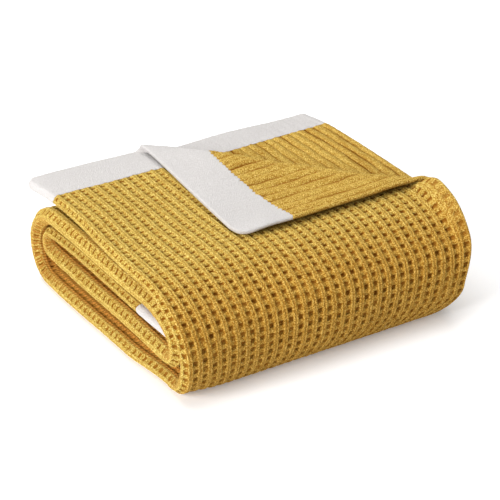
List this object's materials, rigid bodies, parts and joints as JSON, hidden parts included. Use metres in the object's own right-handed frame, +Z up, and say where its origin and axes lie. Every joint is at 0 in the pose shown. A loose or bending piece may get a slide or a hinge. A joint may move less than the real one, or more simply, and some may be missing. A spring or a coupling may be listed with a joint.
{
  "type": "throw blanket",
  "caption": "Waffle-knit chenille throw with a plain band at each end, folded into a flat rectangular bundle with one corner of the top layer turned back.",
  "frame": {"origin": "centre of the folded bundle's box, on the surface it lies on", "axes": "+X across the bundle from its closed folds to the side with the free edge, +Y from the rounded front fold to the hem at the back, +Z up"},
  "size_m": [0.4422, 0.4198, 0.1553],
  "materials": {
    "mustard_knit": "soft chenille waffle knit",
    "cream_knit": "soft plain chenille knit"
  },
  "bodies": {
    "root": {"mustard_field": "mustard_knit", "outer_end_band": "cream_knit", "inner_end_band": "cream_knit"}
  },
  "joints": []
}
